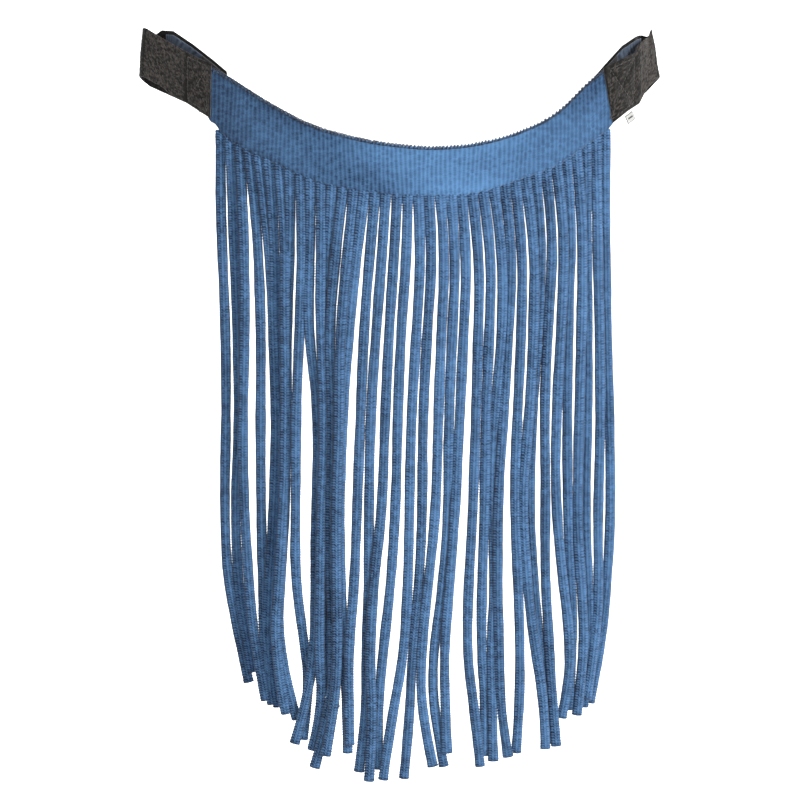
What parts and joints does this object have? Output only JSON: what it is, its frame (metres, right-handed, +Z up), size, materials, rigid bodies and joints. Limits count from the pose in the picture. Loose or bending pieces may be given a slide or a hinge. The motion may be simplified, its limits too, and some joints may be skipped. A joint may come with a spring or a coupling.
{
  "type": "horse fly fringe",
  "caption": "Knitted forehead band for a headcollar with a fringe of free-hanging flat cords and a hook-and-loop strap loop at each end.",
  "frame": {"origin": "midway between the two strap loops that the fringe hangs from, on the plane through the middle of the band", "axes": "+X along the band from the left loop to the right loop as seen from outside, -Y outwards from the forehead, +Z up"},
  "size_m": [0.3898, 0.0814, 0.565],
  "materials": {
    "band_knit": "blue rib knit",
    "cord_knit": "blue flat knitted cord, cross ribbed",
    "backing": "woven blue tape",
    "overlock": "dark blue overlock thread",
    "strap": "black brushed loop tape",
    "pile": "black soft loop pile",
    "hook": "dark grey hook tape",
    "thread": "black sewing thread",
    "label": "white satin tape"
  },
  "bodies": {
    "band": {"header_band": "band_knit", "backing_tape": "backing", "top_edge_overlock": "overlock", "strap_front_left": "strap", "strap_front_right": "strap", "strap_fold_left": "strap", "strap_fold_right": "strap", "box_stitch_left": "thread", "box_stitch_right": "thread", "pile_patch_left": "pile", "pile_patch_right": "pile"},
    "flap_left": {"strap_flap_left": "strap", "hook_patch_left": "hook"},
    "flap_right": {"strap_flap_right": "strap", "hook_patch_right": "hook"},
    "label": {"care_label": "label"},
    "cord_01": {"fringe_cord_01": "cord_knit"},
    "cord_02": {"fringe_cord_02": "cord_knit"},
    "cord_03": {"fringe_cord_03": "cord_knit"},
    "cord_04": {"fringe_cord_04": "cord_knit"},
    "cord_05": {"fringe_cord_05": "cord_knit"},
    "cord_06": {"fringe_cord_06": "cord_knit"},
    "cord_07": {"fringe_cord_07": "cord_knit"},
    "cord_08": {"fringe_cord_08": "cord_knit"},
    "cord_09": {"fringe_cord_09": "cord_knit"},
    "cord_10": {"fringe_cord_10": "cord_knit"},
    "cord_11": {"fringe_cord_11": "cord_knit"},
    "cord_12": {"fringe_cord_12": "cord_knit"},
    "cord_13": {"fringe_cord_13": "cord_knit"},
    "cord_14": {"fringe_cord_14": "cord_knit"},
    "cord_15": {"fringe_cord_15": "cord_knit"},
    "cord_16": {"fringe_cord_16": "cord_knit"},
    "cord_17": {"fringe_cord_17": "cord_knit"},
    "cord_18": {"fringe_cord_18": "cord_knit"},
    "cord_19": {"fringe_cord_19": "cord_knit"},
    "cord_20": {"fringe_cord_20": "cord_knit"},
    "cord_21": {"fringe_cord_21": "cord_knit"},
    "cord_22": {"fringe_cord_22": "cord_knit"},
    "cord_23": {"fringe_cord_23": "cord_knit"},
    "cord_24": {"fringe_cord_24": "cord_knit"},
    "cord_25": {"fringe_cord_25": "cord_knit"},
    "cord_26": {"fringe_cord_26": "cord_knit"},
    "cord_27": {"fringe_cord_27": "cord_knit"},
    "cord_28": {"fringe_cord_28": "cord_knit"},
    "cord_29": {"fringe_cord_29": "cord_knit"},
    "cord_30": {"fringe_cord_30": "cord_knit"},
    "cord_31": {"fringe_cord_31": "cord_knit"},
    "cord_32": {"fringe_cord_32": "cord_knit"},
    "cord_33": {"fringe_cord_33": "cord_knit"},
    "cord_34": {"fringe_cord_34": "cord_knit"},
    "cord_35": {"fringe_cord_35": "cord_knit"},
    "cord_36": {"fringe_cord_36": "cord_knit"},
    "cord_37": {"fringe_cord_37": "cord_knit"},
    "cord_38": {"fringe_cord_38": "cord_knit"}
  },
  "joints": [
    {"name": "flap_left_open", "type": "hinge", "parent": "band", "child": "flap_left", "pos_m": [-0.20007, 0.02958, 0], "axis": [0, 0, 1], "range_deg": [0, 150], "deforming": ["strap_fold_left"]},
    {"name": "flap_right_open", "type": "hinge", "parent": "band", "child": "flap_right", "pos_m": [0.17825, 0.03094, 0], "axis": [0, 0, -1], "range_deg": [0, 150], "deforming": ["strap_fold_right"]},
    {"name": "label_swing", "type": "hinge", "parent": "band", "child": "label", "pos_m": [0.16182, 0.00812, -0.03854], "axis": [0.5936, 0.649, 0.4759], "range_deg": [-60, 60]},
    {"name": "cord_01_swing", "type": "hinge", "parent": "band", "child": "cord_01", "pos_m": [-0.144, -0.00489, -0.0533], "axis": [-1, 0, 0], "range_deg": [-20, 60]},
    {"name": "cord_02_swing", "type": "hinge", "parent": "band", "child": "cord_02", "pos_m": [-0.137, -0.00858, -0.059], "axis": [-1, 0, 0], "range_deg": [-20, 60]},
    {"name": "cord_03_swing", "type": "hinge", "parent": "band", "child": "cord_03", "pos_m": [-0.1295, -0.01227, -0.064], "axis": [-1, 0, 0], "range_deg": [-20, 60]},
    {"name": "cord_04_swing", "type": "hinge", "parent": "band", "child": "cord_04", "pos_m": [-0.1225, -0.01549, -0.0675], "axis": [-1, 0, 0], "range_deg": [-20, 60]},
    {"name": "cord_05_swing", "type": "hinge", "parent": "band", "child": "cord_05", "pos_m": [-0.115, -0.01871, -0.0705], "axis": [-1, 0, 0], "range_deg": [-20, 60]},
    {"name": "cord_06_swing", "type": "hinge", "parent": "band", "child": "cord_06", "pos_m": [-0.1075, -0.02168, -0.0745], "axis": [-1, 0, 0], "range_deg": [-20, 60]},
    {"name": "cord_07_swing", "type": "hinge", "parent": "band", "child": "cord_07", "pos_m": [-0.0995, -0.02461, -0.078], "axis": [-1, 0, 0], "range_deg": [-20, 60]},
    {"name": "cord_08_swing", "type": "hinge", "parent": "band", "child": "cord_08", "pos_m": [-0.092, -0.02712, -0.082], "axis": [-1, 0, 0], "range_deg": [-20, 60]},
    {"name": "cord_09_swing", "type": "hinge", "parent": "band", "child": "cord_09", "pos_m": [-0.084, -0.02956, -0.0855], "axis": [-1, 0, 0], "range_deg": [-20, 60]},
    {"name": "cord_10_swing", "type": "hinge", "parent": "band", "child": "cord_10", "pos_m": [-0.0765, -0.03163, -0.0875], "axis": [-1, 0, 0], "range_deg": [-20, 60]},
    {"name": "cord_11_swing", "type": "hinge", "parent": "band", "child": "cord_11", "pos_m": [-0.0685, -0.03361, -0.09], "axis": [-1, 0, 0], "range_deg": [-20, 60]},
    {"name": "cord_12_swing", "type": "hinge", "parent": "band", "child": "cord_12", "pos_m": [-0.0605, -0.03537, -0.092], "axis": [-1, 0, 0], "range_deg": [-20, 60]},
    {"name": "cord_13_swing", "type": "hinge", "parent": "band", "child": "cord_13", "pos_m": [-0.0525, -0.03689, -0.094], "axis": [-1, 0, 0], "range_deg": [-20, 60]},
    {"name": "cord_14_swing", "type": "hinge", "parent": "band", "child": "cord_14", "pos_m": [-0.0445, -0.0382, -0.0955], "axis": [-1, 0, 0], "range_deg": [-20, 60]},
    {"name": "cord_15_swing", "type": "hinge", "parent": "band", "child": "cord_15", "pos_m": [-0.0365, -0.03928, -0.0965], "axis": [-1, 0, 0], "range_deg": [-20, 60]},
    {"name": "cord_16_swing", "type": "hinge", "parent": "band", "child": "cord_16", "pos_m": [-0.0285, -0.04015, -0.0975], "axis": [-1, 0, 0], "range_deg": [-20, 60]},
    {"name": "cord_17_swing", "type": "hinge", "parent": "band", "child": "cord_17", "pos_m": [-0.0205, -0.0408, -0.0985], "axis": [-1, 0, 0], "range_deg": [-20, 60]},
    {"name": "cord_18_swing", "type": "hinge", "parent": "band", "child": "cord_18", "pos_m": [-0.012, -0.04126, -0.0995], "axis": [-1, 0, 0], "range_deg": [-20, 60]},
    {"name": "cord_19_swing", "type": "hinge", "parent": "band", "child": "cord_19", "pos_m": [-0.004, -0.04147, -0.1], "axis": [-1, 0, 0], "range_deg": [-20, 60]},
    {"name": "cord_20_swing", "type": "hinge", "parent": "band", "child": "cord_20", "pos_m": [0.004, -0.04147, -0.1], "axis": [-1, 0, 0], "range_deg": [-20, 60]},
    {"name": "cord_21_swing", "type": "hinge", "parent": "band", "child": "cord_21", "pos_m": [0.012, -0.04126, -0.1005], "axis": [-1, 0, 0], "range_deg": [-20, 60]},
    {"name": "cord_22_swing", "type": "hinge", "parent": "band", "child": "cord_22", "pos_m": [0.0205, -0.0408, -0.1], "axis": [-1, 0, 0], "range_deg": [-20, 60]},
    {"name": "cord_23_swing", "type": "hinge", "parent": "band", "child": "cord_23", "pos_m": [0.0285, -0.04015, -0.0995], "axis": [-1, 0, 0], "range_deg": [-20, 60]},
    {"name": "cord_24_swing", "type": "hinge", "parent": "band", "child": "cord_24", "pos_m": [0.0365, -0.03928, -0.099], "axis": [-1, 0, 0], "range_deg": [-20, 60]},
    {"name": "cord_25_swing", "type": "hinge", "parent": "band", "child": "cord_25", "pos_m": [0.0445, -0.0382, -0.0985], "axis": [-1, 0, 0], "range_deg": [-20, 60]},
    {"name": "cord_26_swing", "type": "hinge", "parent": "band", "child": "cord_26", "pos_m": [0.0525, -0.03689, -0.096], "axis": [-1, 0, 0], "range_deg": [-20, 60]},
    {"name": "cord_27_swing", "type": "hinge", "parent": "band", "child": "cord_27", "pos_m": [0.0605, -0.03537, -0.0935], "axis": [-1, 0, 0], "range_deg": [-20, 60]},
    {"name": "cord_28_swing", "type": "hinge", "parent": "band", "child": "cord_28", "pos_m": [0.0685, -0.03361, -0.0915], "axis": [-1, 0, 0], "range_deg": [-20, 60]},
    {"name": "cord_29_swing", "type": "hinge", "parent": "band", "child": "cord_29", "pos_m": [0.0765, -0.03163, -0.089], "axis": [-1, 0, 0], "range_deg": [-20, 60]},
    {"name": "cord_30_swing", "type": "hinge", "parent": "band", "child": "cord_30", "pos_m": [0.084, -0.02956, -0.086], "axis": [-1, 0, 0], "range_deg": [-20, 60]},
    {"name": "cord_31_swing", "type": "hinge", "parent": "band", "child": "cord_31", "pos_m": [0.092, -0.02712, -0.083], "axis": [-1, 0, 0], "range_deg": [-20, 60]},
    {"name": "cord_32_swing", "type": "hinge", "parent": "band", "child": "cord_32", "pos_m": [0.0995, -0.02461, -0.08], "axis": [-1, 0, 0], "range_deg": [-20, 60]},
    {"name": "cord_33_swing", "type": "hinge", "parent": "band", "child": "cord_33", "pos_m": [0.1075, -0.02168, -0.077], "axis": [-1, 0, 0], "range_deg": [-20, 60]},
    {"name": "cord_34_swing", "type": "hinge", "parent": "band", "child": "cord_34", "pos_m": [0.115, -0.01871, -0.0725], "axis": [-1, 0, 0], "range_deg": [-20, 60]},
    {"name": "cord_35_swing", "type": "hinge", "parent": "band", "child": "cord_35", "pos_m": [0.1225, -0.01549, -0.0672], "axis": [-1, 0, 0], "range_deg": [-20, 60]},
    {"name": "cord_36_swing", "type": "hinge", "parent": "band", "child": "cord_36", "pos_m": [0.1295, -0.01227, -0.062], "axis": [-1, 0, 0], "range_deg": [-20, 60]},
    {"name": "cord_37_swing", "type": "hinge", "parent": "band", "child": "cord_37", "pos_m": [0.137, -0.00858, -0.0573], "axis": [-1, 0, 0], "range_deg": [-20, 60]},
    {"name": "cord_38_swing", "type": "hinge", "parent": "band", "child": "cord_38", "pos_m": [0.144, -0.00489, -0.0527], "axis": [-1, 0, 0], "range_deg": [-20, 60]}
  ]
}
